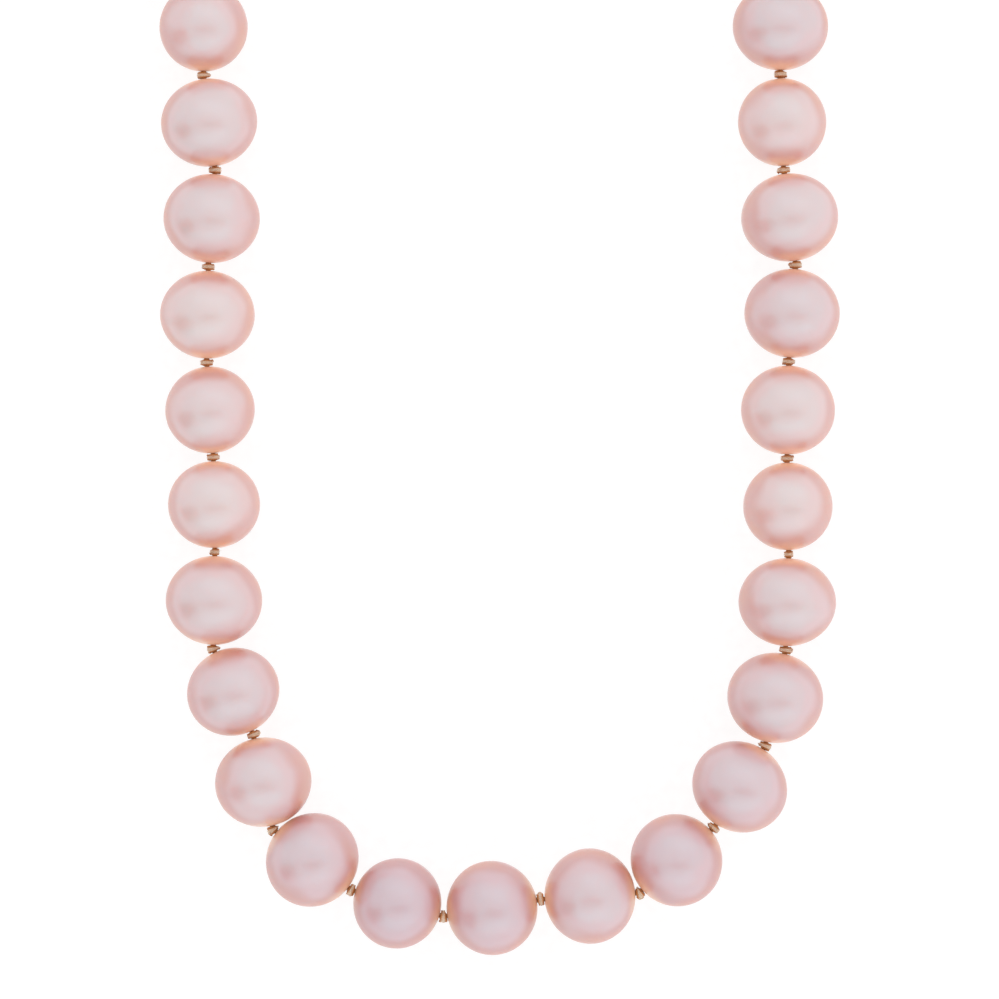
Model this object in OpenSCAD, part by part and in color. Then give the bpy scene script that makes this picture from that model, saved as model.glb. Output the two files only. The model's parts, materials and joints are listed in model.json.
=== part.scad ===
// Knotted pearl necklace, laid open on a flat surface with its clasp undone.
// The strand lies in the XY plane, the middle pearl is nearest -Y, and +Z is up.

/* [Pearls] */
// Width of an average pearl, across the strand
pearl_across = 9.4; // [8:0.1:11]
// Length of an average pearl, along the strand
pearl_along = 8.8; // [7.5:0.1:11]
// Diameter of the hole drilled through every pearl
hole_d = 0.9; // [0.7:0.05:1.4]

/* [Silk] */
// Diameter of the silk thread
thread_d = 0.6; // [0.4:0.05:0.65]
// Space between two neighbouring pearls, which a knot fills
knot_gap = 0.78; // [0.6:0.02:1.2]
// Width of a knot
knot_d = 1.1; // [0.95:0.05:1.4]

/* [Wire loops at the ends] */
// Radius of the coiled-wire loop, at the middle of its wire
loop_r = 1.4; // [1.2:0.05:1.8]
// Diameter of the coiled wire
loop_wire_d = 0.7; // [0.5:0.05:0.8]
// Length of a loop, from its point to the middle of its round end
loop_reach = 3.9; // [3.4:0.1:5]

/* [Clasp] */
// Thickness of the claw
claw_thick = 3; // [2.8:0.1:4]
// Length of the claw, from the eye's bar to its tip
claw_len = 12.3; // [12:0.1:14]
// Radius of the claw's wide end
claw_nose_r = 3.1; // [3:0.05:3.6]
// Radius of the space inside the hook
hook_r = 1.8; // [1.5:0.05:1.9]
// Radius of the claw's eye, at the middle of its wire
eye_r = 1.4; // [1.3:0.05:1.6]
// Diameter of the eye's wire
eye_wire_d = 0.9; // [0.7:0.05:1]
// Diameter of the pin that the lever turns on
pin_d = 0.7; // [0.5:0.05:0.9]
// Thickness of the lever
lever_thick = 1.2; // [0.9:0.05:1.5]

/* [End tag] */
// Radius of the hole that the claw hooks into
tag_hole_r = 1.6; // [1.4:0.05:2]
// Radius of the hole that the wire loop passes through
tag_eye_r = 1; // [0.9:0.05:1.3]
// Width of metal round both holes
tag_rim = 0.9; // [0.7:0.05:1.2]
// Thickness of the tag
tag_thick = 0.9; // [0.7:0.05:1.2]

/* [Hidden] */
$fn = 64;

// Direction wanted for each pearl's drill hole, in degrees from +X, from one end to the other
HEADING = [
    -56, -53, -57, -53, -54, -58, -55, -62, -67, -75, -83,
    -90, -83, -94, -91, -86, -89, -91, -65, -78, -38, -16,
    10,
    4, 41, 58, 78, 88, 91, 89, 86, 97, 92, 90,
    84, 76, 66, 61, 55, 57, 54, 51, 56, 53, 55
];
// How much wider than the average each pearl is
ACROSS_TRIM = [
    -0.1, 0.2, 0, -0.3, 0.1, 0.3, -0.2, 0, 0.2, -0.1, 0.1,
    -0.5, 0.3, 0.3, 0.1, -0.4, -0.1, 0.3, 0, 0.4, 0.2, -0.3,
    0.1,
    0.2, 0, 0.4, 0.3, 0.4, -0.4, 0.1, 0.2, 0.4, -0.5, 0.2,
    0, -0.2, 0.3, 0.1, -0.1, 0.2, 0, -0.3, 0.2, 0.1, -0.2
];
// How much longer than the average each pearl is
ALONG_TRIM = [
    0, 0.1, -0.1, 0, 0, 0.1, 0, -0.1, 0.1, 0, 0,
    0, 0, 0.1, 0, -0.1, -0.1, 0.1, -0.1, 0.1, 0.3, 0,
    0.3,
    0.3, 0.3, 0.1, 0.2, 0, 0, 0.1, 0.1, 0, 0, 0,
    0.1, 0, 0, -0.1, 0.1, 0, 0, 0.1, -0.1, 0, 0
];
PEARLS = len(HEADING);
// Number of the middle pearl, which the rest of the strand hangs from
MIDDLE = 22;
// Pearls whose knot on the middle's side is a node of its own
LIFT_PEARLS = [4, 10, 16, 28, 34, 40];

// Least angle left between a bend and the one at which its pearls touch
spare_bend = 1;
knot_clearance = 0.06;
knot_len = knot_gap - 2 * knot_clearance;
// How far a thread's cut end lies inside its pearl, and stands out of its own knot
thread_inset = 0.1;
thread_stub = 0.02;
// Straight stretch of the loop's stem outside the end pearl
stem_out = 0.5;
// How far the stem reaches into the end pearl's hole
stem_in = 1.2;
// Beads join a loop's straight sides to each other and to its round end, which stop short
// inside them: the round end by this many degrees
loop_bead_d = loop_wire_d * 1.15;
loop_inset = loop_wire_d / 8;
loop_break = 2;
// The loop's round end sits this far behind and above the bar that it holds
loop_back = 0.2;
loop_above = 0.3;
// Height of the bars that the loops hold: both ends of the strand come down to it
bar_z = claw_thick / 2;

function across(i) = pearl_across + ACROSS_TRIM[i];
function along(i) = pearl_along + ALONG_TRIM[i];
function towards(angle) = [cos(angle), sin(angle)];
// From a pearl's middle to the middle of the knot beside it
function half_link(i) = (along(i) + knot_gap) / 2;
function half_step(i) = i < PEARLS ? half_link(i) * towards(DIRECTION[i]) : [0, 0];
function two_digits(n) = str(n < 10 ? "0" : "", n);
function pearl_name(i) = str("pearl_", two_digits(i + 1));
function knot_name(i) = str("knot_", two_digits(i + 1));
function has_own_knot(i) = len([for (k = LIFT_PEARLS) if (k == i) k]) > 0;

// How far the strand can bend between pearls i and i + 1 before those two touch
function touching_bend(i) =
    let (half_len = max(along(i), along(i + 1)) / 2)
    let (room = sqrt(pow(half_len + knot_gap / 2, 2) - pow(half_len, 2)))
    2 * atan(2 * room / max(across(i), across(i + 1)));
function bend_limit(i) = touching_bend(i) - spare_bend;
function bend(i) = max(-bend_limit(i), min(bend_limit(i), HEADING[i + 1] - HEADING[i]));
// The middle pearl keeps its heading, and the others bend away from it
function direction(i) =
    i == MIDDLE ? HEADING[i]
    : i > MIDDLE ? direction(i - 1) + bend(i - 1)
    : direction(i + 1) - bend(i);
DIRECTION = [for (i = [0:PEARLS - 1]) direction(i)];

// Middles of the pearls, walked along the strand from the first one
WALK = [
    for (i = 0, p = [0, 0]; i < PEARLS; p = p + half_step(i) + half_step(i + 1), i = i + 1) p
];

// Where a loop's bar is, counted from the end pearl's middle: out along the strand
function loop_drop(i) = across(i) / 2 - bar_z - loop_above;
function loop_slope(i) = asin(loop_drop(i) / loop_reach);
function bar_out(i) = along(i) / 2 + stem_out + loop_reach * cos(loop_slope(i)) + loop_back;

FIRST = 0;
LAST = PEARLS - 1;
tag_len = 2 * tag_rim + 2 * tag_eye_r + tag_rim / 2 + 2 * tag_hole_r;
tag_tip = WALK[FIRST] - (bar_out(FIRST) + tag_len) * towards(DIRECTION[FIRST]);
claw_tip = WALK[LAST] + (bar_out(LAST) + claw_len) * towards(DIRECTION[LAST]);
// The origin is under the middle of the whole necklace
XS = [for (p = concat(WALK, [tag_tip, claw_tip])) p.x];
YS = [for (p = concat(WALK, [tag_tip, claw_tip])) p.y];
SHIFT = -[min(XS) + max(XS), min(YS) - across(MIDDLE) / 2 + max(YS)] / 2;

KNOT_NODES = [for (i = LIFT_PEARLS) knot_name(i)];
PEARL_NODES = [for (i = [0:PEARLS - 1]) pearl_name(i)];
END_NODES = [
    "tag_loop", "end_tag", "claw_loop", "claw_body", "claw_lever", "claw_pin", "claw_spring"
];

PEARL_COLOUR = [0.92, 0.76, 0.74];
SILK_COLOUR = [0.72, 0.52, 0.38];
GOLD_COLOUR = [0.86, 0.68, 0.36];

// Puts a child at pearl i, with +X along its drill hole
module at_pearl(i) {
    translate([WALK[i].x + SHIFT.x, WALK[i].y + SHIFT.y, across(i) / 2])
        rotate([0, 0, DIRECTION[i]])
            children();
}

module along_x(length, diameter) {
    rotate([0, 90, 0]) cylinder(d = diameter, h = length);
}

// A ball drawn out or flattened along X, with its poles on X
module oval(length, width) {
    rotate([0, 90, 0]) scale([1, 1, length / width]) sphere(d = width);
}

// A knot with its middle at the origin, on a short stretch of thread
module knot() {
    oval(knot_len, knot_d);
    translate([-knot_len / 2 - thread_stub, 0, 0]) along_x(knot_len + 2 * thread_stub, thread_d);
}

module drilled_pearl(i) {
    color(PEARL_COLOUR)
        difference() {
            oval(along(i), across(i));
            translate([-across(i), 0, 0]) along_x(2 * across(i), hole_d);
        }
}

// The thread through pearl i, with the knot on the side of the middle pearl
module silk(i) {
    side = i < MIDDLE ? 1 : -1;
    own = i != MIDDLE && !has_own_knot(i);
    reach = own ? half_link(i) : along(i) / 2 - thread_inset;
    is_end = i == FIRST || i == LAST;
    outer = along(i) / 2 - thread_inset - (is_end ? stem_in : 0);
    color(SILK_COLOUR)
        mirror([side < 0 ? 1 : 0, 0, 0]) {
            translate([-outer, 0, 0]) along_x(outer + reach, thread_d);
            if (own) translate([reach, 0, 0]) knot();
        }
}

module strung_pearl(i) {
    at_pearl(i) {
        drilled_pearl(i);
        silk(i);
    }
}

// The knot on the middle's side of pearl i
module strung_knot(i) {
    side = i < MIDDLE ? 1 : -1;
    color(SILK_COLOUR) at_pearl(i) translate([side * half_link(i), 0, 0]) knot();
}

// A drop-shaped wire loop whose point is at the origin, in the XZ plane
module drop_loop() {
    half = asin(loop_r / loop_reach);
    side_len = loop_reach * cos(half);
    rotate([90, 0, 0]) {
        translate([loop_reach, 0, 0])
            rotate([0, 0, -90 - half + loop_break])
                rotate_extrude(angle = 180 + 2 * half - 2 * loop_break)
                    translate([loop_r, 0]) circle(d = loop_wire_d);
        for (side = [-1, 1])
            rotate([side * 90, 0, side * half]) {
                translate([loop_inset, 0, 0]) along_x(side_len - 2 * loop_inset, loop_wire_d);
                translate([side_len, 0, 0]) oval(loop_bead_d, loop_bead_d);
            }
        rotate([90, 0, 0]) oval(loop_bead_d, loop_bead_d);
    }
}

// The loop beyond an end pearl, which comes down from the hole to the bar
module wire_loop(i) {
    color(GOLD_COLOUR) {
        translate([along(i) / 2 - stem_in, 0, 0]) along_x(stem_in + stem_out, thread_d);
        translate([along(i) / 2 + stem_out, 0, 0]) rotate([0, loop_slope(i), 0]) drop_loop();
    }
}

// Puts a child with its bar inside the loop of end pearl i, with +X away from the strand
module at_bar(i) {
    outward = i == FIRST ? 180 : 0;
    at_pearl(i) rotate([0, 0, outward]) translate([bar_out(i), 0, bar_z - across(i) / 2]) children();
}

module tag_loop() {
    at_pearl(FIRST) rotate([0, 0, 180]) wire_loop(FIRST);
}

module claw_loop() {
    at_pearl(LAST) wire_loop(LAST);
}

// A flat plate with two holes, tipped so that its far end rests on the surface
module end_tag() {
    eye_x = tag_rim / 2 + tag_eye_r;
    hole_x = eye_x + tag_eye_r + tag_rim + tag_hole_r;
    tip_x = hole_x + tag_hole_r + tag_rim;
    color(GOLD_COLOUR)
        at_bar(FIRST)
            rotate([0, asin((bar_z - tag_thick / 2) / tip_x), 0])
                difference() {
                    union() {
                        translate([eye_x, 0, 0])
                            cylinder(r = tag_eye_r + tag_rim, h = tag_thick, center = true);
                        translate([hole_x, 0, 0])
                            cylinder(r = tag_hole_r + tag_rim, h = tag_thick, center = true);
                    }
                    translate([eye_x, 0, 0])
                        cylinder(r = tag_eye_r, h = 2 * tag_thick, center = true);
                    translate([hole_x, 0, 0])
                        cylinder(r = tag_hole_r, h = 2 * tag_thick, center = true);
                }
}

// The claw's parts share one plan, with the eye's bar at the origin and the nose at +X
claw_tail_r = 1.5;
claw_tail_x = 2 * eye_r + claw_tail_r - eye_wire_d / 2;
claw_nose_x = claw_len - claw_nose_r;
pin_x = claw_tail_x + 0.8;
pin_y = -0.7;
boss_r = pin_d / 2 + 0.6;
spring_thick = 0.18;
spring_room = 0.1;
slot_r = boss_r + spring_thick + 2 * spring_room + 0.05;
slot_thick = lever_thick + 0.2;
pin_clearance = 0.04;
// The lever's tip and the hook's tip meet on arcs round the pin, so that the lever can swing
lever_gap = 0.1;
lever_reach = claw_nose_x + 0.4 - pin_x;
mouth_reach = lever_reach + lever_gap;

// Outline of two round ends with straight sides between them
module drop_outline(r_a, x_a, r_b, x_b) {
    lean = acos((r_a - r_b) / (x_b - x_a));
    translate([x_a, 0]) circle(r_a);
    translate([x_b, 0]) circle(r_b);
    polygon([
        [x_a + r_a * cos(lean), r_a * sin(lean)],
        [x_b + r_b * cos(lean), r_b * sin(lean)],
        [x_b + r_b * cos(lean), -r_b * sin(lean)],
        [x_a + r_a * cos(lean), -r_a * sin(lean)]
    ]);
}

module slab(thickness) {
    translate([0, 0, -thickness / 2]) linear_extrude(thickness) children();
}

module claw_outline() {
    drop_outline(claw_tail_r, claw_tail_x, claw_nose_r, claw_nose_x);
}

// The mouth that the lever closes, from the hook's space out through the side
module mouth_outline() {
    intersection() {
        translate([pin_x, pin_y]) circle(mouth_reach);
        polygon([
            [pin_x + 0.9, -0.15],
            [claw_nose_x - 1.5, 0],
            [claw_len, -0.3],
            [claw_len, -2 * claw_nose_r],
            [pin_x + 0.9, -2 * claw_nose_r]
        ]);
    }
}

// The lever's arm, from the pin to the hook's tip, with a thumb tab
module lever_outline() {
    difference() {
        union() {
            translate([pin_x, pin_y]) circle(boss_r);
            intersection() {
                translate([pin_x, pin_y]) circle(lever_reach);
                polygon([
                    [pin_x - 0.2, pin_y - boss_r + 0.1],
                    [pin_x + lever_reach, -claw_nose_r + 0.15],
                    [pin_x + lever_reach, -claw_nose_r + 1.15],
                    [pin_x + 0.5, pin_y + 0.3]
                ]);
            }
            polygon([
                [pin_x - 0.1, pin_y - boss_r + 0.3],
                [pin_x + 0.6, pin_y - boss_r - 1.4],
                [pin_x + 1.3, pin_y - boss_r - 1.4],
                [pin_x + 1.6, pin_y - boss_r + 0.1]
            ]);
        }
        translate([pin_x, pin_y]) circle(d = pin_d + 2 * pin_clearance);
    }
}

module claw_body() {
    color(GOLD_COLOUR)
        at_bar(LAST) {
            difference() {
                union() {
                    slab(claw_thick) claw_outline();
                    translate([eye_r, 0, 0])
                        rotate_extrude() translate([eye_r, 0]) circle(d = eye_wire_d);
                }
                slab(2 * claw_thick) {
                    translate([claw_nose_x - 0.2, 0.1]) circle(hook_r);
                    mouth_outline();
                }
                slab(slot_thick) {
                    translate([pin_x, pin_y]) circle(slot_r);
                    translate([pin_x - 0.6, pin_y - 2 * slot_r]) square([2.2, 2 * slot_r]);
                }
                translate([pin_x, pin_y, 0])
                    cylinder(d = pin_d, h = 2 * claw_thick, center = true);
            }
        }
}

module claw_lever() {
    color(GOLD_COLOUR) at_bar(LAST) slab(lever_thick) lever_outline();
}

module claw_pin() {
    color(GOLD_COLOUR)
        at_bar(LAST)
            translate([pin_x, pin_y, 0])
                cylinder(d = pin_d, h = claw_thick, center = true);
}

// A bent strip round the lever's boss, on the side away from the arm
module claw_spring() {
    color(GOLD_COLOUR)
        at_bar(LAST)
            translate([pin_x, pin_y, 0])
                rotate([0, 0, 45])
                    rotate_extrude(angle = 150)
                        translate([boss_r + spring_room, -lever_thick / 2])
                            square([spring_thick, lever_thick]);
}

for (i = [0:PEARLS - 1])
    strung_pearl(i);
for (i = LIFT_PEARLS)
    strung_knot(i);
tag_loop();
end_tag();
claw_loop();
claw_body();
claw_lever();
claw_pin();
claw_spring();
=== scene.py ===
"""The looks of a knotted pearl necklace that lies open on a white surface.

Pearls, silk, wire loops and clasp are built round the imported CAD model, in metres.
"""
import json
import math

import bpy
import numpy as np
from mathutils import Matrix, Vector

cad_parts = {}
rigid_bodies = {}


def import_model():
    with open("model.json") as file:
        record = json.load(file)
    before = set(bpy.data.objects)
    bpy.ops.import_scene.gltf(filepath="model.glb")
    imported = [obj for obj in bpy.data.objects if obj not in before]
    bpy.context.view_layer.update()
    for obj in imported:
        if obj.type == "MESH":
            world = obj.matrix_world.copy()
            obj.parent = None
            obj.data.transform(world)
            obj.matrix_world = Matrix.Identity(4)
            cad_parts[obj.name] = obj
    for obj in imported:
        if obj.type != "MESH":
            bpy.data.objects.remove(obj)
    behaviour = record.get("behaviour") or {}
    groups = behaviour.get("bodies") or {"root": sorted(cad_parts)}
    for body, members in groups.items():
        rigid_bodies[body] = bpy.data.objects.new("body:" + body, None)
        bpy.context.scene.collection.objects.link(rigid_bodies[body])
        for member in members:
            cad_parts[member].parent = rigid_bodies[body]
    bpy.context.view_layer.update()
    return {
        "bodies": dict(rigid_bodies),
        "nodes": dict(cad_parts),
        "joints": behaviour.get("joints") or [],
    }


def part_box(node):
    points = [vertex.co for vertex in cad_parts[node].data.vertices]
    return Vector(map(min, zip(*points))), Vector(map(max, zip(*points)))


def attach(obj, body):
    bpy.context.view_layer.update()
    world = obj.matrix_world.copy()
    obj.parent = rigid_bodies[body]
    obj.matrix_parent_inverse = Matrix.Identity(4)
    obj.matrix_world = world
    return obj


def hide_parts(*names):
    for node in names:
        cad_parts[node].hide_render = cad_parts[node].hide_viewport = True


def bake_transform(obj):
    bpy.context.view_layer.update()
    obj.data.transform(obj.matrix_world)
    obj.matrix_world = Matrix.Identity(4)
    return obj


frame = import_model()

MM = 0.001
PEARLS = 45
# The pearl that the strand's joints start from
MIDDLE = 23
# Sizes that the CAD model gives the strand
KNOT_GAP = 0.78 * MM
HOLE_R = 0.45 * MM
THREAD_R = 0.3 * MM
STEM_OUT = 0.5 * MM
LOOP_R = 1.4 * MM
LOOP_WIRE_R = 0.35 * MM
LOOP_BACK = 0.2 * MM
LOOP_ABOVE = 0.3 * MM
UP = Vector((0, 0, 1))


# ---------------------------------------------------------------- the strand's layout

JOINTS = {joint["name"]: joint for joint in frame["joints"]}


def joint_place(name):
    return Vector(JOINTS[name]["pos_m"])


def pearl_name(i):
    return f"pearl_{i:02d}"


def hinge(i):
    """Where the strand bends between pearls i and i + 1."""
    return joint_place(f"swing_{i if i < MIDDLE else i + 1:02d}")


def flat(vector):
    return Vector((vector.x, vector.y, 0))


class Pearl:
    """A pearl's place, with +X along its drill hole, towards the next pearl."""

    def __init__(self, i):
        self.i = i
        self.node = pearl_name(i)
        low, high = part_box(self.node)
        self.width = high.z - low.z
        before = hinge(i - 1) if i > 1 else None
        after = hinge(i) if i < PEARLS else None
        if before and after:
            run = flat(after - before)
            self.axis = run.normalized()
            self.length = run.length - KNOT_GAP
            middle = (before + after) / 2
        else:
            inner = after or before
            outer = joint_place("tag_pivot" if i == 1 else "claw_pivot")
            out = flat(outer - inner).normalized()
            self.axis = -out if i == 1 else out
            reach = max((v.co - inner).dot(out) for v in frame["nodes"][self.node].data.vertices)
            self.length = reach - KNOT_GAP / 2
            middle = inner + out * (self.length + KNOT_GAP) / 2
        self.centre = Vector((middle.x, middle.y, low.z + self.width / 2))
        side = UP.cross(self.axis)
        turn = Matrix((self.axis, side, UP)).transposed()
        self.matrix = Matrix.Translation(self.centre) @ turn.to_4x4()

    def face(self, end):
        """The middle of the drill hole's mouth: end is 1 towards the next pearl, or -1."""
        return self.centre + self.axis * (end * self.length / 2)


STRAND = {i: Pearl(i) for i in range(1, PEARLS + 1)}


# ---------------------------------------------------------------- camera, floor and light

LENS = 200
SENSOR = 36
# What the picture takes in, and where its middle is from the middle pearl
SEEN_WIDTH = 99.9 * MM
SEEN_FROM_MIDDLE = Vector((0.75 * MM, 40.85 * MM, 0))
SEEN_MIDDLE = STRAND[MIDDLE].centre + SEEN_FROM_MIDDLE


def add_object(name, data):
    made = bpy.data.objects.new(name, data)
    bpy.context.scene.collection.objects.link(made)
    return made


def add_camera():
    data = bpy.data.cameras.new("camera")
    data.lens = LENS
    data.sensor_width = SENSOR
    data.clip_start = 0.01
    data.clip_end = 20
    camera = add_object("camera", data)
    camera.location = SEEN_MIDDLE + UP * (SEEN_WIDTH * LENS / SENSOR)
    bpy.context.scene.camera = camera


def add_softbox(name, place, size, radiance, colour):
    """A flat light of an even radiance, aimed at the middle of the picture."""
    data = bpy.data.lights.new(name, "AREA")
    data.shape = "RECTANGLE"
    data.size, data.size_y = size
    data.energy = radiance * math.pi * size[0] * size[1]
    data.color = colour
    light = add_object(name, data)
    light.location = SEEN_MIDDLE + Vector(place)
    light.rotation_euler = (-Vector(place)).to_track_quat("-Z", "Y").to_euler()
    light.visible_camera = False


def material(name):
    made = bpy.data.materials.new(name)
    made.use_nodes = True
    made.node_tree.nodes.clear()
    return made


class Nodes:
    """Short ways to add and link a material's nodes."""

    def __init__(self, tree):
        self.tree = tree

    def add(self, kind, **settings):
        made = self.tree.nodes.new("ShaderNode" + kind)
        for key, value in settings.items():
            setattr(made, key, value)
        return made

    def link(self, source, target):
        if isinstance(source, bpy.types.NodeSocket):
            self.tree.links.new(source, target)
        else:
            target.default_value = source

    def math(self, operation, *values):
        made = self.add("Math", operation=operation)
        for value, socket in zip(values, made.inputs):
            self.link(value, socket)
        return made.outputs[0]

    def mix(self, share, first, second, blend="MIX"):
        made = self.add("Mix", data_type="RGBA", blend_type=blend)
        self.link(share, made.inputs[0])
        self.link(first, made.inputs[6])
        self.link(second, made.inputs[7])
        return made.outputs[2]

    def ramp(self, share, stops):
        made = self.add("ValToRGB")
        ramp = made.color_ramp
        ramp.interpolation = "EASE"
        while len(ramp.elements) < len(stops):
            ramp.elements.new(1)
        for element, (position, colour) in zip(ramp.elements, stops):
            element.position = position
            element.color = colour
        self.link(share, made.inputs[0])
        return made.outputs[0]

    def step(self, value, low, high):
        """0 below low, 1 above high and a smooth way between."""
        made = self.add("MapRange", interpolation_type="SMOOTHSTEP")
        self.link(value, made.inputs["Value"])
        made.inputs["From Min"].default_value = low
        made.inputs["From Max"].default_value = high
        return made.outputs[0]

    def noise(self, vector, scale, detail=2.0, roughness=0.5, seed=None):
        made = self.add("TexNoise", noise_dimensions="4D" if seed is not None else "3D")
        self.link(vector, made.inputs["Vector"])
        made.inputs["Scale"].default_value = scale
        made.inputs["Detail"].default_value = detail
        made.inputs["Roughness"].default_value = roughness
        if seed is not None:
            self.link(seed, made.inputs["W"])
        return made.outputs["Fac"]

    def bump(self, height, distance, normal=None):
        made = self.add("Bump")
        made.inputs["Strength"].default_value = 1.0
        made.inputs["Distance"].default_value = distance
        self.link(height, made.inputs["Height"])
        if normal is not None:
            self.link(normal, made.inputs["Normal"])
        return made.outputs[0]

    def attribute(self, name, output="Fac"):
        return self.add("Attribute", attribute_name=name).outputs[output]

    def principled(self, **sockets):
        shader = self.add("BsdfPrincipled")
        for key, value in sockets.items():
            self.link(value, shader.inputs[key.replace("_", " ")])
        output = self.add("OutputMaterial")
        self.tree.links.new(shader.outputs[0], output.inputs[0])
        return shader


def linear(red, green, blue):
    """A colour given in the 0 to 255 steps of a screen."""

    def one(value):
        value /= 255
        return value / 12.92 if value <= 0.04045 else ((value + 0.055) / 1.055) ** 2.4

    return (one(red), one(green), one(blue), 1.0)


FLOOR_HALF_SIDE = 6.0
# Paper that glows a little reads as the photograph's pure white
FLOOR_GLOW = 0.84


def add_floor():
    side = FLOOR_HALF_SIDE
    mesh = bpy.data.meshes.new("floor")
    corners = [(-side, -side, 0), (side, -side, 0), (side, side, 0), (-side, side, 0)]
    mesh.from_pydata(corners, [], [(0, 1, 2, 3)])
    floor = add_object("floor", mesh)
    paper = material("white_paper")
    nodes = Nodes(paper.node_tree)
    place = nodes.add("TexCoord").outputs["Object"]
    grain = nodes.noise(place, 900, detail=4)
    nodes.principled(
        Base_Color=nodes.ramp(grain, [(0.3, (0.18, 0.18, 0.18, 1)), (0.7, (0.22, 0.22, 0.22, 1))]),
        Roughness=0.9,
        Emission_Color=(1, 1, 1, 1),
        Emission_Strength=FLOOR_GLOW,
    )
    mesh.materials.append(paper)


SKY = (1.03, 1.05, 1.06, 1)
CAMERA_GAP = (0.25, 0.16, 0.16, 1)
SIDE_GAP = (0.16, 0.02, 0.0, 1)


def shade_spot(nodes, split, middle, reach):
    """1 in a round or oval place of the sky, seen from below, and 0 outside it."""
    parts = []
    for axis, centre, size in zip("XY", middle, reach):
        off = nodes.math("DIVIDE", nodes.math("SUBTRACT", split.outputs[axis], centre), size)
        parts.append(nodes.math("MULTIPLY", off, off))
    away = nodes.math("ADD", *parts)
    above = nodes.math("GREATER_THAN", split.outputs["Z"], 0.0)
    return nodes.math("MULTIPLY", nodes.math("SUBTRACT", 1.0, nodes.step(away, 0.2, 1.6)), above)


def add_world():
    """An even studio sky. Its two darker places are what a satin pearl shows of a real studio."""
    world = bpy.data.worlds.new("world")
    bpy.context.scene.world = world
    world.use_nodes = True
    world.node_tree.nodes.clear()
    nodes = Nodes(world.node_tree)
    split = nodes.add("SeparateXYZ")
    nodes.link(nodes.add("TexCoord").outputs["Generated"], split.inputs[0])
    camera_gap = shade_spot(nodes, split, (0.08, -0.17), (0.5, 0.15))
    side_gap = shade_spot(nodes, split, (-0.86, -0.36), (0.28, 0.29))
    colour = nodes.mix(camera_gap, SKY, CAMERA_GAP)
    colour = nodes.mix(side_gap, colour, SIDE_GAP)
    background = nodes.add("Background")
    nodes.link(colour, background.inputs["Color"])
    background.inputs["Strength"].default_value = 1.0
    output = nodes.add("OutputWorld")
    nodes.link(background.outputs[0], output.inputs[0])


def add_lights():
    add_softbox("softbox_far", (0.12, 0.55, 0.6), (1.1, 0.5), 0.3, (0.96, 1, 1))
    add_softbox("softbox_near", (0.1, -0.6, 0.5), (1.1, 0.4), 0.42, (0.96, 1, 1))


# ---------------------------------------------------------------- mesh helpers

def add_piece(name, points, faces, surface, attributes=None):
    """A smooth mesh object. attributes maps a name to one value or vector for each point."""
    mesh = bpy.data.meshes.new(name)
    faces = faces.tolist() if isinstance(faces, np.ndarray) else faces
    mesh.from_pydata(np.asarray(points).tolist(), [], faces)
    for key, values in (attributes or {}).items():
        values = np.asarray(values, np.float32)
        kind = "FLOAT" if values.ndim == 1 else "FLOAT_VECTOR"
        made = mesh.attributes.new(key, kind, "POINT")
        made.data.foreach_set("value" if values.ndim == 1 else "vector", values.ravel())
    mesh.materials.append(surface)
    mesh.polygons.foreach_set("use_smooth", [True] * len(mesh.polygons))
    mesh.update()
    return add_object(name, mesh)


def ring_faces(rings, sides, wrap):
    """Quads between rings of points. wrap joins the last ring to the first."""
    ring = np.arange(rings if wrap else rings - 1)[:, None]
    side = np.arange(sides)[None, :]
    after, beside = (ring + 1) % rings, (side + 1) % sides
    corners = (ring * sides + side, ring * sides + beside, after * sides + beside, after * sides + side)
    return np.stack([np.broadcast_to(c, (len(ring), sides)) for c in corners], -1).reshape(-1, 4)


def sweep(path, radius, sides, twist=0.0, lobes=0.0):
    """A closed round tube along path: its points, faces and fibre coordinates.

    twist is how far its strands turn, in radians a metre. lobes is how deep the grooves
    between its two strands are, as a share of its radius.
    """
    path = np.asarray(path, float)
    radius = np.broadcast_to(np.asarray(radius, float), (len(path),))
    step = np.gradient(path, axis=0)
    tangent = step / np.linalg.norm(step, axis=1)[:, None]
    first = np.cross(tangent[0], (0.31, 0.2, 0.93))
    normal = first / np.linalg.norm(first)
    along = np.concatenate([[0], np.cumsum(np.linalg.norm(np.diff(path, axis=0), axis=1))])
    angle = np.arange(sides) * 2 * math.pi / sides
    points, fibres = [], []
    for k in range(len(path)):
        normal = normal - tangent[k] * normal.dot(tangent[k])
        normal /= np.linalg.norm(normal)
        binormal = np.cross(tangent[k], normal)
        turned = angle - twist * along[k]
        size = radius[k] * (1 - lobes * (0.5 - 0.5 * np.cos(2 * turned)))
        ring = path[k] + size[:, None] * (np.cos(angle)[:, None] * normal + np.sin(angle)[:, None] * binormal)
        points.append(ring)
        fibres.append(np.stack([np.cos(turned), np.sin(turned), np.full(sides, along[k] / MM * 0.12)], -1))
    faces = ring_faces(len(path), sides, False).tolist()
    last = (len(path) - 1) * sides
    faces.append(list(range(sides))[::-1])
    faces.append([last + k for k in range(sides)])
    return np.concatenate(points), faces, np.concatenate(fibres)


def joined(parts):
    """One mesh of several sweeps."""
    points, faces, fibres, start = [], [], [], 0
    for some_points, some_faces, some_fibres in parts:
        points.append(some_points)
        fibres.append(some_fibres)
        faces += [[start + k for k in face] for face in some_faces]
        start += len(some_points)
    return np.concatenate(points), faces, np.concatenate(fibres)


def smoothstep(t):
    t = np.clip(t, 0, 1)
    return t * t * (3 - 2 * t)


# ---------------------------------------------------------------- pearls

PEARL_RINGS = 56
PEARL_SIDES = 72
LIP_R = 0.09 * MM
# How much a pearl's surface may dip, as a share of its radius
DIP = 0.016


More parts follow.
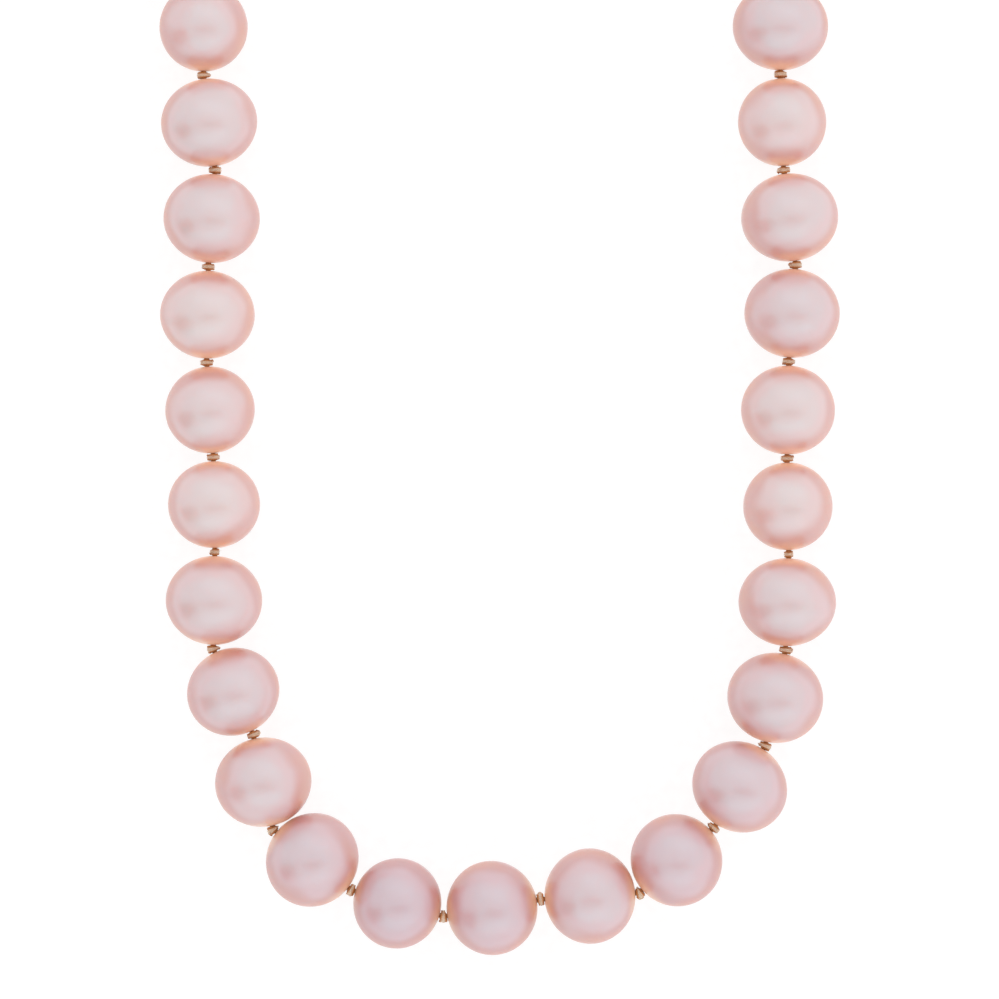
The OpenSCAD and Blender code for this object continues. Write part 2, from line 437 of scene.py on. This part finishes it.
def pearl_profile(length, width):
    """Half outline of a drilled pearl: (along the hole, out from it), closed through the hole."""
    mouth = math.asin(2 * (HOLE_R + LIP_R) / width)
    polar = np.linspace(mouth, math.pi - mouth, PEARL_RINGS)
    outside = np.stack([np.cos(polar) * length / 2, np.sin(polar) * width / 2], -1)
    end = outside[0, 0]
    turn = np.linspace(0, math.pi / 2, 5)[1:]
    lip = np.stack([end - LIP_R + LIP_R * np.cos(turn), HOLE_R + LIP_R - LIP_R * np.sin(turn)], -1)
    near = lip * (-1, 1)
    bore = np.stack([np.linspace(-0.7, 0.7, 4) * end, np.full(4, HOLE_R)], -1)
    return np.concatenate([outside, near, bore, lip[::-1]])


def unevenness(directions, random):
    """A slow wave over a ball, from 0 to 1, which makes a pearl a little less than round."""
    wave = np.zeros(len(directions))
    waves = 5
    for _ in range(waves):
        across = random.normal(size=3)
        across /= np.linalg.norm(across)
        wave += np.cos(random.uniform(2.0, 5.0) * directions @ across + random.uniform(0, 6.3))
    return 0.5 + 0.5 * wave / waves


# Textures take a mean pearl as a ball of radius 1
MEAN_PEARL_R = 4.7 * MM
# The body colour with a painted highlight, by height: 0.5 is the middle of the side and 1 the top, which is
# painted paler as if lit from above
BODY_AND_PAINTED_HIGHLIGHT_STOPS = [
    (0.5, linear(236, 180, 168)),
    (0.62, linear(233, 162, 146)),
    (0.74, linear(232, 169, 159)),
    (0.87, linear(240, 198, 193)),
    (0.97, linear(236, 203, 198)),
]
ORANGE = linear(242, 166, 128)
# The drill ends' tan, made lighter than the sides as painted light against the next pearl's shade
TAN_AND_PAINTED_END_LIGHT = linear(252, 200, 156)
GLOW = linear(255, 222, 206)
OVERTONE = linear(236, 224, 238)
# How many pearls on each side of the middle have the deeper tone
DEEP_REACH = 3


def nacre():
    """Satin mother-of-pearl: peach round the sides, with a painted highlight that makes it pale on top, and
    tan at the drill holes, where painted light and a painted glow make it lighter.
    """
    made = material("nacre")
    nodes = Nodes(made.node_tree)
    place = nodes.add("VectorMath", operation="SCALE")
    nodes.link(nodes.add("TexCoord").outputs["Object"], place.inputs[0])
    place.inputs["Scale"].default_value = 1 / MEAN_PEARL_R
    ball = place.outputs[0]
    split = nodes.add("SeparateXYZ")
    nodes.link(ball, split.inputs[0])
    seed = nodes.attribute("seed")
    cloud = nodes.noise(ball, 0.9, detail=1, seed=seed)
    fine = nodes.noise(ball, 3.2, detail=3, seed=seed)
    # Painted highlight: pale on top, as if lit from above, with a wavering border
    waver = nodes.math("MULTIPLY_ADD", cloud, 0.7, -0.35)
    height = nodes.math("ADD", split.outputs["Z"], waver)
    body = nodes.ramp(nodes.math("MULTIPLY_ADD", height, 0.5, 0.5), BODY_AND_PAINTED_HIGHLIGHT_STOPS)
    # Here and there the peach of the sides turns to orange
    patch = nodes.noise(ball, 1.3, detail=1, seed=seed)
    low = nodes.math("SUBTRACT", 1.0, nodes.step(height, 0.3, 0.75))
    orange = nodes.math("MULTIPLY", nodes.step(patch, 0.36, 0.72), low)
    body = nodes.mix(nodes.math("MULTIPLY", orange, 0.6), body, ORANGE)
    # Tan towards both ends of the drill hole: partly the nacre's own tint and partly painted light, as this
    # tan is lighter than the sides, to offset the shade of the next pearl
    end = nodes.math("ABSOLUTE", split.outputs["X"])
    end = nodes.math("ADD", end, nodes.math("MULTIPLY_ADD", fine, 0.16, -0.08))
    near_hole = nodes.step(end, 0.72, 0.98)
    colour = nodes.mix(nodes.math("MULTIPLY", near_hole, nodes.attribute("tan")), body, TAN_AND_PAINTED_END_LIGHT)
    # Each pearl is a little more lavender or a little more cream than the next
    colour = nodes.mix(nodes.attribute("tone"), colour, OVERTONE, "MULTIPLY")
    nodes.principled(
        Base_Color=colour,
        # A narrow range: one from 0.22 to 0.36 left small marks on the rendered pearls
        Roughness=nodes.math("MULTIPLY_ADD", fine, 0.06, 0.285),
        IOR=2.3,
        Specular_Tint=(0.3, 0.88, 1.0, 1.0),
        Subsurface_Weight=0.3,
        Subsurface_Radius=(1.0, 0.45, 0.35),
        Subsurface_Scale=1.2 * MM,
        Coat_Weight=0.1,
        Coat_Roughness=0.2,
        Coat_IOR=1.5,
        # Painted glow: the drill ends give off light, standing in for light that comes through the nacre from
        # the far side, where the next pearl shades it
        Emission_Color=GLOW,
        Emission_Strength=nodes.math("MULTIPLY", near_hole, nodes.attribute("glow")),
        # Slow ripples bend the reflections
        Normal=nodes.bump(nodes.noise(ball, 2.0, detail=1, seed=seed), 0.04 * MM),
    )
    return made


def add_pearl(pearl, surface):
    random = np.random.default_rng(100 + pearl.i)
    profile = pearl_profile(pearl.length, pearl.width)
    angle = np.arange(PEARL_SIDES) * 2 * math.pi / PEARL_SIDES
    x = np.repeat(profile[:, 0], PEARL_SIDES)
    out = np.repeat(profile[:, 1], PEARL_SIDES)
    around = np.tile(angle, len(profile))
    points = np.stack([x, out * np.cos(around), out * np.sin(around)], -1)
    directions = points / np.linalg.norm(points, axis=1)[:, None]
    # No change at the holes, so that the neighbours keep their distance
    waist = (directions[:, 1] ** 2 + directions[:, 2] ** 2) * (out > 1.5 * HOLE_R)
    shrink = 1 - DIP * unevenness(directions, random) * waist
    points *= shrink[:, None]
    count = len(points)
    deep = math.exp(-(((pearl.i - MIDDLE) / DEEP_REACH) ** 2))
    piece = add_piece(
        f"nacre_{pearl.i:02d}", points, ring_faces(len(profile), PEARL_SIDES, True), surface,
        {
            "seed": np.full(count, random.uniform(0, 50)),
            "tone": np.full(count, random.uniform(0, 0.4) + 0.5 * deep),
            # How much tan, lightened with painted light, each pearl has at its drill ends
            "tan": np.full(count, random.uniform(0.4, 0.8) + 0.35 * deep),
            # How strongly each pearl's drill ends glow as painted light
            "glow": np.full(count, 0.17 - 0.13 * deep),
        },
    )
    piece.matrix_world = pearl.matrix
    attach(piece, pearl.node)
    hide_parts(pearl.node)


# ---------------------------------------------------------------- silk

THREAD_TWIST = 2 * math.pi / (0.9 * MM)
WRAP_R = 0.54 * MM
# The knots that also bend upwards are slimmer, so that they clear the pearl beside them
SLIM_WRAP_R = 0.37 * MM
STRAND_R = 0.13 * MM
WRAP_TURNS = 2.6
WRAP_REACH = 0.25 * MM
CORE_REACH = 0.33 * MM
FIBRE_R = 0.014 * MM


def silk():
    """Twisted silk thread with painted light and shade: pale where the knot is open to light, and painted a
    shaded brown beside the pearls.
    """
    made = material("silk")
    nodes = Nodes(made.node_tree)
    fibre = nodes.attribute("fibre", "Vector")
    streak = nodes.noise(fibre, 7, detail=4, roughness=0.65)
    pale = nodes.ramp(streak, [
        (0.3, linear(184, 132, 86)),
        (0.48, linear(226, 200, 172)),
        (0.66, linear(248, 240, 228)),
    ])
    brown = nodes.ramp(streak, [
        (0.3, linear(150, 82, 28)),
        (0.5, linear(192, 118, 52)),
        (0.72, linear(222, 168, 112)),
    ])
    # Painted light and shade: pale silk in the open middle of the knot, where light falls, and brown beside
    # the pearls, which shade it
    colour = nodes.mix(nodes.step(nodes.attribute("painted_shade_near_pearl"), 0.22, 0.55), pale, brown)
    nodes.principled(
        Base_Color=colour,
        Roughness=0.5,
        Sheen_Weight=0.5,
        Sheen_Roughness=0.4,
        Sheen_Tint=(1.0, 0.86, 0.72, 1.0),
        Subsurface_Weight=0.1,
        Subsurface_Radius=(1.0, 0.6, 0.4),
        Subsurface_Scale=0.15 * MM,
        Normal=nodes.bump(streak, 0.03 * MM),
    )
    return made


def thread_path(start, end, count):
    return np.stack([np.linspace(start, end, count), np.zeros(count), np.zeros(count)], -1)


def wraps(random, radius):
    """The thread's turns round itself, across the middle of the knot."""
    turn = np.linspace(0, 1, 72)
    angle = random.uniform(0, 2 * math.pi) + turn * WRAP_TURNS * 2 * math.pi
    x = (turn - 0.5) * 2 * WRAP_REACH
    # The outer turns hug the thread, so the knot is widest in the middle
    out = radius * (0.9 + 0.1 * np.sin(turn * math.pi))
    path = np.stack([x, out * np.cos(angle), out * np.sin(angle)], -1)
    return sweep(path, STRAND_R, 12, THREAD_TWIST, 0.22)


def crossing(random, radius):
    """The strand that crosses over the turns and locks them."""
    t = np.linspace(0, 1, 18)
    angle = random.uniform(0, 2 * math.pi) + (t - 0.5) * 1.7
    x = (t - 0.5) * 2.0 * WRAP_REACH
    out = radius + STRAND_R * (0.15 + 0.95 * np.sin(t * math.pi))
    path = np.stack([x, out * np.cos(angle), out * np.sin(angle)], -1)
    return sweep(path, STRAND_R * 0.8, 12, THREAD_TWIST, 0.22)


def core(radius):
    """What fills the knot under its turns."""
    t = np.linspace(0.04, math.pi - 0.04, 9)
    path = np.stack([-np.cos(t) * CORE_REACH, np.zeros(9), np.zeros(9)], -1)
    return sweep(path, radius * np.sin(t) ** 0.4, 20)


def fibres(random, outer):
    """A few short loose fibres, on the side of the knot where the pearls open."""
    parts = []
    for _ in range(random.integers(0, 3)):
        angle = outer + random.uniform(-1.1, 1.1)
        t = np.linspace(0, 1, 7)
        out = (0.55 + random.uniform(0.12, 0.3) * t) * MM
        bend = angle + random.uniform(-0.9, 0.9) * t ** 2
        x = (random.uniform(-0.18, 0.18) + random.uniform(-0.12, 0.12) * t) * MM
        path = np.stack([x, out * np.cos(bend), out * np.sin(bend)], -1)
        parts.append(sweep(path, FIBRE_R * (1.2 - t), 4))
    return parts


def bent(points, before, after):
    share = smoothstep((points[:, 0] + KNOT_GAP / 2) / KNOT_GAP)[:, None]

    def placed(pearl, end):
        local = points + (end * (pearl.length + KNOT_GAP) / 2, 0, 0)
        turn = np.array(pearl.matrix.to_3x3())
        return local @ turn.T + np.array(pearl.centre)

    return placed(before, 1) * (1 - share) + placed(after, -1) * share


def add_silk(name, parts, before, after, surface):
    points, faces, fibre = joined(parts)
    # How near each point is to a pearl, which sets the painted shade of the silk
    painted_shade_near_pearl = np.abs(points[:, 0]) / (KNOT_GAP / 2)
    looks = {"fibre": fibre, "painted_shade_near_pearl": np.minimum(painted_shade_near_pearl, 1)}
    piece = add_piece(name, bent(points, before, after), faces, surface, looks)
    return piece


def add_knot(i, surface):
    """The knot between pearls i and i + 1, with its thread to the middle of each."""
    before, after = STRAND[i], STRAND[i + 1]
    random = np.random.default_rng(500 + i)
    bend = before.axis.cross(after.axis).z
    outer = math.pi if bend > 0 else 0.0
    near, far = -(before.length + KNOT_GAP) / 2, (after.length + KNOT_GAP) / 2
    left = sweep(thread_path(near, -0.2 * MM, 36), THREAD_R, 12, THREAD_TWIST, 0.25)
    right = sweep(thread_path(0.2 * MM, far, 36), THREAD_R, 12, THREAD_TWIST, 0.25)
    inner, outward = (i + 1, i) if i < MIDDLE else (i, i + 1)
    own = f"knot_{outward:02d}"
    radius = SLIM_WRAP_R if own in frame["bodies"] else WRAP_R
    knot = [core(radius), wraps(random, radius), crossing(random, radius)] + fibres(random, outer)
    if own not in frame["bodies"]:
        piece = add_silk(f"silk_{i:02d}", knot + [left, right], before, after, surface)
        before.face(1)
        after.face(-1)
        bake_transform(piece)
        return
    # Here the strand also bends upwards, and the knot is a body between the pearls
    stub, kept = (left, right) if inner == i else (right, left)
    inner_pearl, outer_pearl = STRAND[inner], STRAND[outward]
    piece = add_silk(f"silk_{i:02d}", knot + [kept], before, after, surface)
    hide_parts(own)
    mouth = outer_pearl.face(-1 if outward == i + 1 else 1)
    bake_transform(piece)
    thread = add_silk(f"thread_{i:02d}", [stub], before, after, surface)
    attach(thread, inner_pearl.node)


# ---------------------------------------------------------------- gold

def gold():
    """Polished yellow metal with faint wear."""
    made = material("gold")
    nodes = Nodes(made.node_tree)
    place = nodes.add("TexCoord").outputs["Object"]
    wear = nodes.noise(place, 500, detail=4)
    scratch = nodes.noise(place, 4000, detail=2)
    nodes.principled(
        Base_Color=nodes.ramp(wear, [(0.3, (0.80, 0.56, 0.22, 1)), (0.7, (0.90, 0.68, 0.33, 1))]),
        Metallic=1.0,
        Roughness=nodes.ramp(wear, [(0.3, (0.16,) * 3 + (1,)), (0.75, (0.30,) * 3 + (1,))]),
        Normal=nodes.bump(scratch, 0.004 * MM),
    )
    return made


def rounded_copy(node, body, surface, voxel, passes):
    """A copy of a CAD node with its edges softened as casting and polishing leave them."""
    mesh = frame["nodes"][node].data.copy()
    piece = add_object(f"gold_{node}", mesh)
    mesh.materials.clear()
    mesh.materials.append(surface)
    remesh = piece.modifiers.new("remesh", "REMESH")
    remesh.mode = "VOXEL"
    remesh.voxel_size = voxel
    smooth = piece.modifiers.new("smooth", "SMOOTH")
    smooth.factor = 0.5
    smooth.iterations = passes
    graph = bpy.context.evaluated_depsgraph_get()
    final = bpy.data.meshes.new_from_object(piece.evaluated_get(graph))
    piece.modifiers.clear()
    piece.data = final
    final.polygons.foreach_set("use_smooth", [True] * len(final.polygons))
    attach(piece, body)
    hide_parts(node)
    return piece


COIL_WIRE_R = 0.055 * MM
COIL_PITCH = 0.125 * MM
# The bead that closes a wire loop at its point
BEAD_R = 0.40 * MM


def drop_path(point, heart, count):
    """A drop's outline from its point round the far side and back, in the plane of UP."""
    run = heart - point
    half = math.asin(LOOP_R / run.length)
    forward = run.normalized()
    up = flat(forward).normalized().cross(UP).cross(forward).normalized()
    side = run.length * math.cos(half)
    arc = math.pi + 2 * half
    total = 2 * side + LOOP_R * arc
    points = []
    for s in np.linspace(0, total, count):
        if s < side:
            place = point + (forward * math.cos(half) + up * math.sin(half)) * s
        elif s < side + LOOP_R * arc:
            angle = math.pi / 2 + half - (s - side) / LOOP_R
            place = heart + (forward * math.cos(angle) + up * math.sin(angle)) * LOOP_R
        else:
            place = point + (forward * math.cos(half) - up * math.sin(half)) * (total - s)
        points.append(place)
    return np.array(points)


def coil_along(path, radius, pitch, steps):
    """A helix of the given radius round a path."""
    along = np.concatenate([[0], np.cumsum(np.linalg.norm(np.diff(path, axis=0), axis=1))])
    count = int(along[-1] / pitch * steps)
    s = np.linspace(0, along[-1], count)
    centre = np.stack([np.interp(s, along, path[:, k]) for k in range(3)], -1)
    tangent = np.gradient(centre, axis=0)
    tangent /= np.linalg.norm(tangent, axis=1)[:, None]
    flat_normal = np.cross(path[len(path) // 3] - path[0], path[2 * len(path) // 3] - path[0])
    flat_normal /= np.linalg.norm(flat_normal)
    inward = np.cross(tangent, flat_normal)
    angle = 2 * math.pi * s / pitch
    return centre + radius * (np.cos(angle)[:, None] * flat_normal + np.sin(angle)[:, None] * inward)


def ball_path(middle, axis, radius):
    t = np.linspace(0.05, math.pi - 0.05, 12)
    return np.array(middle) - np.cos(t)[:, None] * np.array(axis) * radius


def ball_radii(radius):
    return radius * np.sin(np.linspace(0.05, math.pi - 0.05, 12))


def add_wire_loop(node, pearl, outward, pivot, surface):
    """A drop of fine coiled wire over the end of the silk."""
    mouth = pearl.centre + outward * pearl.length / 2
    point = mouth + outward * STEM_OUT
    heart = joint_place(pivot) - outward * LOOP_BACK + UP * LOOP_ABOVE
    line = drop_path(point, heart, 200)
    drop = coil_along(line, LOOP_WIRE_R - COIL_WIRE_R, COIL_PITCH, 12)
    stem_line = np.array([mouth - outward * 1.1 * MM, point])
    stem_s = np.linspace(0, 1, 30)[:, None]
    stem = stem_line[0] * (1 - stem_s) + stem_line[1] * stem_s
    silk_core = sweep(drop_path(point, heart, 90), LOOP_WIRE_R * 0.62, 10)
    stem_core = sweep(stem, THREAD_R * 0.9, 12)
    bead = sweep(ball_path(point, outward, BEAD_R), ball_radii(BEAD_R), 16)
    parts = [sweep(drop, COIL_WIRE_R, 6), silk_core, stem_core, bead]
    points, faces, _ = joined(parts)
    piece = add_piece(f"coil_{node}", points, faces, surface)
    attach(piece, pearl.node)
    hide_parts(node)


# ---------------------------------------------------------------- the whole

add_camera()
add_floor()
add_world()
add_lights()

pearl_surface, silk_surface, gold_surface = nacre(), silk(), gold()
for pearl in STRAND.values():
    add_pearl(pearl, pearl_surface)
for i in range(1, PEARLS):
    add_knot(i, silk_surface)
add_wire_loop("tag_loop", STRAND[1], -STRAND[1].axis, "tag_pivot", gold_surface)
add_wire_loop("claw_loop", STRAND[PEARLS], STRAND[PEARLS].axis, "claw_pivot", gold_surface)
for node, body, voxel, passes in (
    ("end_tag", "end_tag", 0.06 * MM, 6),
    ("claw_body", "claw", 0.07 * MM, 8),
    ("claw_lever", "claw_lever", 0.05 * MM, 3),
    ("claw_pin", "claw", 0.05 * MM, 2),
    ("claw_spring", "claw", 0.03 * MM, 1),
):
    rounded_copy(node, body, gold_surface, voxel, passes)

bpy.context.scene.view_settings.view_transform = "Standard"
bpy.context.scene.view_settings.look = "None"
